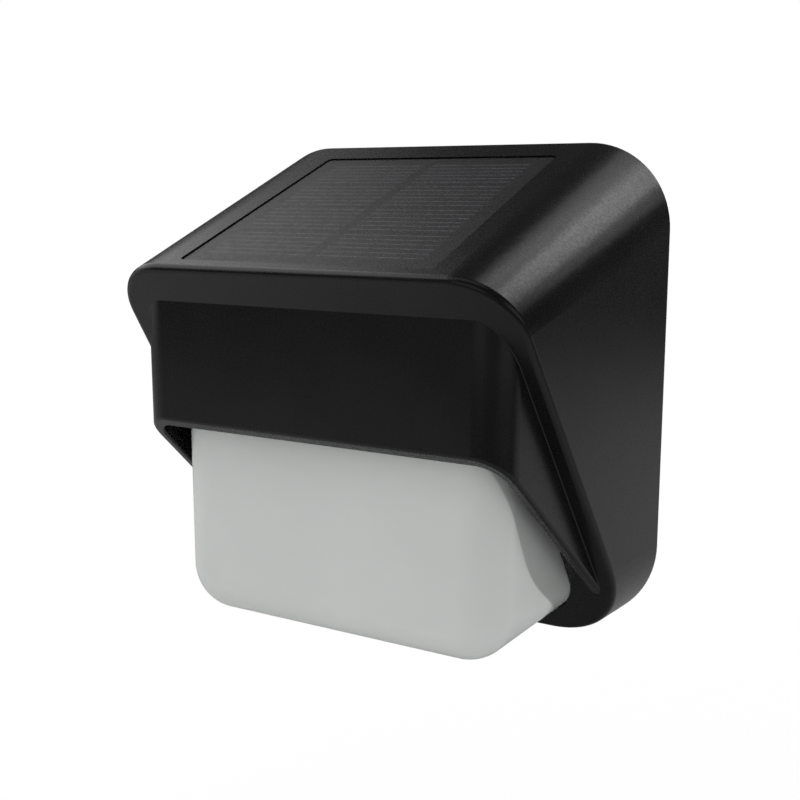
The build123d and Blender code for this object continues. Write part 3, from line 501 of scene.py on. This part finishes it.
def dress_nodes():
    """Puts a material on every node of the light."""
    leads = lead_material("lead_insulation")
    dressed = {
        "housing": housing_material(),
        "back_cover": cover_material(),
        "diffuser": diffuser_material(),
        "panel_glaze": glaze_material(),
        "solar_cells": cell_material(),
        "reflector": plain_plastic("reflector_white", (0.74, 0.74, 0.72), (0.80, 0.80, 0.78), 0.55),
        "battery_tray": plain_plastic("tray_black", (0.012, 0.012, 0.012), (0.02, 0.02, 0.02)),
        "battery_cell": battery_material(),
        "panel_leads": leads,
        "led_leads": leads,
        "battery_leads": leads,
        **board_materials(),
        **seal_materials(),
        **metal_materials(),
    }
    for name, part in nodes.items():
        for slot in part.material_slots:
            slot.material = dressed[name]


# ---------------------------------------------------------------- stage and light
FLOOR_DEPTH = 100 * MM
FLOOR_RADIUS = 4.0
FLOOR_TONE = (0.85, 0.85, 0.85)
FLOOR_MIRRORED = 0.41
SURROUND_MIRRORED = 0.05
BEHIND_MIRRORED = 0.9
BEHIND_FADE = (0.92, 0.98)
SURROUND_LIGHT = 0.8
VIEWER_WAY = (0.73, -0.68, 0.0)


def background(tree, strength):
    """A white background shader of the given strength."""
    shader = tree.nodes.new("ShaderNodeBackground")
    shader.inputs["Color"].default_value = (1, 1, 1, 1)
    shader.inputs["Strength"].default_value = strength
    return shader.outputs["Background"]


def mix_shaders(tree, share, first, second):
    mixer = tree.nodes.new("ShaderNodeMixShader")
    tree.links.new(share, mixer.inputs["Fac"])
    tree.links.new(first, mixer.inputs[1])
    tree.links.new(second, mixer.inputs[2])
    return mixer.outputs["Shader"]


def larger(tree, first, second):
    made = tree.nodes.new("ShaderNodeMath")
    made.operation = "MAXIMUM"
    tree.links.new(first, made.inputs[0])
    tree.links.new(second, made.inputs[1])
    return made.outputs["Value"]


def add_world():
    """White behind the light, even light all round, and a dark room in glossy surfaces.

    Reflections that run straight back, along +Y, see the white backdrop instead of the dark room.
    """
    world = bpy.data.worlds.new("studio")
    bpy.context.scene.world = world
    world.use_nodes = True
    tree = world.node_tree
    tree.nodes.clear()
    output = tree.nodes.new("ShaderNodeOutputWorld")
    path = tree.nodes.new("ShaderNodeLightPath")
    way = tree.nodes.new("ShaderNodeSeparateXYZ")
    tree.links.new(tree.nodes.new("ShaderNodeTexCoord").outputs["Generated"], way.inputs["Vector"])
    behind = tree.nodes.new("ShaderNodeMapRange")
    tree.links.new(way.outputs["Y"], behind.inputs["Value"])
    behind.inputs["From Min"].default_value = BEHIND_FADE[0]
    behind.inputs["From Max"].default_value = BEHIND_FADE[1]
    behind.inputs["To Min"].default_value = SURROUND_MIRRORED
    behind.inputs["To Max"].default_value = BEHIND_MIRRORED
    mirrored = background(tree, 1.0)
    tree.links.new(behind.outputs["Result"], mirrored.node.inputs["Strength"])
    around = background(tree, SURROUND_LIGHT)
    unlit = mix_shaders(tree, path.outputs["Is Glossy Ray"], around, mirrored)
    clear = larger(tree, path.outputs["Is Camera Ray"], path.outputs["Is Transmission Ray"])
    seen = mix_shaders(tree, clear, unlit, background(tree, 1.0))
    tree.links.new(seen, output.inputs["Surface"])


def add_floor():
    ring = 64
    turns = [2 * math.pi * i / ring for i in range(ring)]
    points = [(FLOOR_RADIUS * math.cos(turn), FLOOR_RADIUS * math.sin(turn), 0) for turn in turns]
    mesh = bpy.data.meshes.new("floor")
    mesh.from_pydata(points, [], [tuple(range(ring))])
    floor = bpy.data.objects.new("floor", mesh)
    floor.location.z = -FLOOR_DEPTH
    bpy.context.scene.collection.objects.link(floor)
    mesh.materials.append(floor_material())


def floor_material():
    """White floor that keeps a soft shadow near the light and turns pure white further out.

    In glossy surfaces it glows as a painted reflection: a sheet with a painted shadow under the light
    and painted shade where a viewer stands.
    """
    g = Graph("floor_white")
    g.set(Roughness=0.9, Base_Color=FLOOR_TONE, Specular_IOR_Level=0.0)
    length = g.node("ShaderNodeVectorMath", operation="LENGTH")
    g.link(g.place, length.inputs[0])
    reach = length.outputs["Value"]
    path = g.node("ShaderNodeLightPath")
    whitening = g.ramp(reach, 0.75, 1.0, 0.1, 0.5)
    camera_share = g.math("MULTIPLY", path.outputs["Is Camera Ray"], whitening)
    heading = g.node("ShaderNodeVectorMath", operation="NORMALIZE")
    g.link(g.place, heading.inputs[0])
    towards = g.node("ShaderNodeVectorMath", operation="DOT_PRODUCT")
    g.link(heading.outputs["Vector"], towards.inputs[0])
    towards.inputs[1].default_value = VIEWER_WAY
    facing = towards.outputs["Value"]
    # painted reflection of the floor, given as emission: a painted shadow near the middle and painted
    # shade towards the viewer
    sheet = g.math("MULTIPLY", g.ramp(reach, 0.15, 1.0, 0.02, 0.19), g.ramp(reach, 1.0, 0.0, 0.6, 1.5))
    beside = g.ramp(facing, 1.0, 0.1, 0.25, 0.5)
    near = g.ramp(reach, 1.0, 0.0, 0.2, 0.4)
    painted_reflection_sheet = g.math("MULTIPLY", sheet, g.math("MAXIMUM", beside, near))
    far = g.math("MULTIPLY", g.ramp(reach, 0.0, 0.5, 0.95, 1.2), g.ramp(facing, 0.0, 1.0, 0.4, 0.7))
    mirrored = g.ramp(g.math("MAXIMUM", painted_reflection_sheet, far), SURROUND_MIRRORED, FLOOR_MIRRORED, 0.0, 1.0)
    glow = g.node("ShaderNodeEmission")
    glow.inputs["Color"].default_value = (1, 1, 1, 1)
    g.link(g.math("MAXIMUM", path.outputs["Is Camera Ray"], mirrored), glow.inputs["Strength"])
    mixer = g.node("ShaderNodeMixShader")
    g.link(g.math("MAXIMUM", camera_share, path.outputs["Is Glossy Ray"]), mixer.inputs["Fac"])
    g.link(g.shader.outputs["BSDF"], mixer.inputs[1])
    g.link(glow.outputs["Emission"], mixer.inputs[2])
    g.link(mixer.outputs["Shader"], g.tree.nodes["Material Output"].inputs["Surface"])
    return g.material


def add_softbox(name, direction, distance, width, height, radiance):
    """A rectangular softbox that looks at the middle of the object."""
    middle = (Vector(cad_box[0]) + Vector(cad_box[1])) / 2
    data = bpy.data.lights.new(name, "AREA")
    data.shape = "RECTANGLE"
    data.size = width
    data.size_y = height
    data.energy = radiance * math.pi * width * height
    lamp = bpy.data.objects.new(name, data)
    way = Vector(direction).normalized()
    lamp.location = middle + way * distance
    lamp.rotation_euler = way.to_track_quat("Z", "Y").to_euler()
    bpy.context.scene.collection.objects.link(lamp)


add_camera()
dress_nodes()
add_world()
add_floor()
add_softbox("back_softbox_low", (0.10, 0.52, 0.85), 1.1, 0.22, 0.44, 0.75)
add_softbox("back_softbox_mid", (0.28, 0.55, 0.79), 1.1, 0.22, 0.44, 1.5)
add_softbox("back_softbox_high", (0.47, 0.59, 0.66), 1.1, 0.26, 0.36, 2.9)
add_softbox("back_softbox_edge", (0.60, 0.66, 0.46), 1.1, 0.22, 0.24, 0.9)
add_softbox("left_softbox", (-0.76, -0.09, 0.64), 1.2, 1.8, 1.0, 1.32)
add_softbox("left_softbox_edge", (-0.58, 0.60, 0.55), 1.2, 0.2, 0.5, 0.12)
add_softbox("right_fill", (1.0, -0.16, 0.12), 1.6, 1.3, 0.8, 0.45)
add_softbox("left_fill", (-0.97, -0.24, 0.12), 1.6, 1.2, 0.8, 0.45)
add_softbox("front_fill", (0.0, -1.0, 0.12), 1.8, 1.2, 0.7, 0.4)
add_softbox("top_fill", (0.05, -0.30, 0.95), 1.5, 1.2, 0.8, 0.4)

bpy.context.scene.view_settings.view_transform = "Standard"
